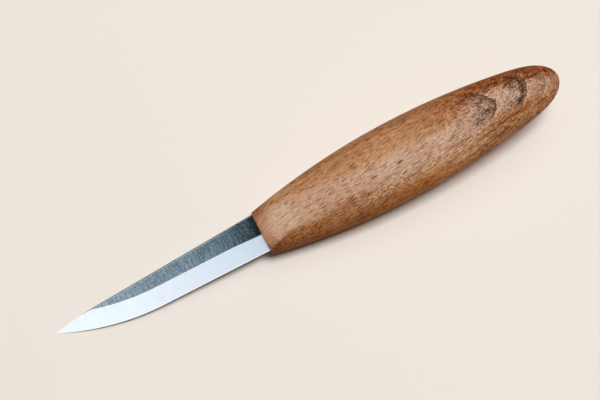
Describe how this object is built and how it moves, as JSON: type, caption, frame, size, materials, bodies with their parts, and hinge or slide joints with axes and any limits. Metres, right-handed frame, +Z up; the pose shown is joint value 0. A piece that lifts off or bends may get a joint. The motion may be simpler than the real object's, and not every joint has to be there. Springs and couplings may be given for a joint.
{
  "type": "sloyd knife",
  "caption": "Sloyd carving knife: short straight-ground blade with a hidden stick tang glued into a turned oval beech handle with thumb flats at its front.",
  "frame": {"origin": "on the bench plane under the middle of the knife's bounding box, where the knife lies on its side on the blade near its tip and on the handle's belly", "axes": "+X from the tip to the butt, +Y from the cutting edge to the spine, +Z up from the bench; the knife's own axis rises 5.5 degrees towards the butt"},
  "size_m": [0.1959, 0.0278, 0.026],
  "materials": {
    "blade_steel": "bright satin-ground bevels and dark unpolished flats",
    "beech": "oiled, brown, with dark pore dashes and growth rings at the butt",
    "glue": "cured amber glue"
  },
  "bodies": {
    "root": {"blade": "blade_steel", "handle": "beech", "tang_adhesive": "glue"}
  },
  "joints": []
}
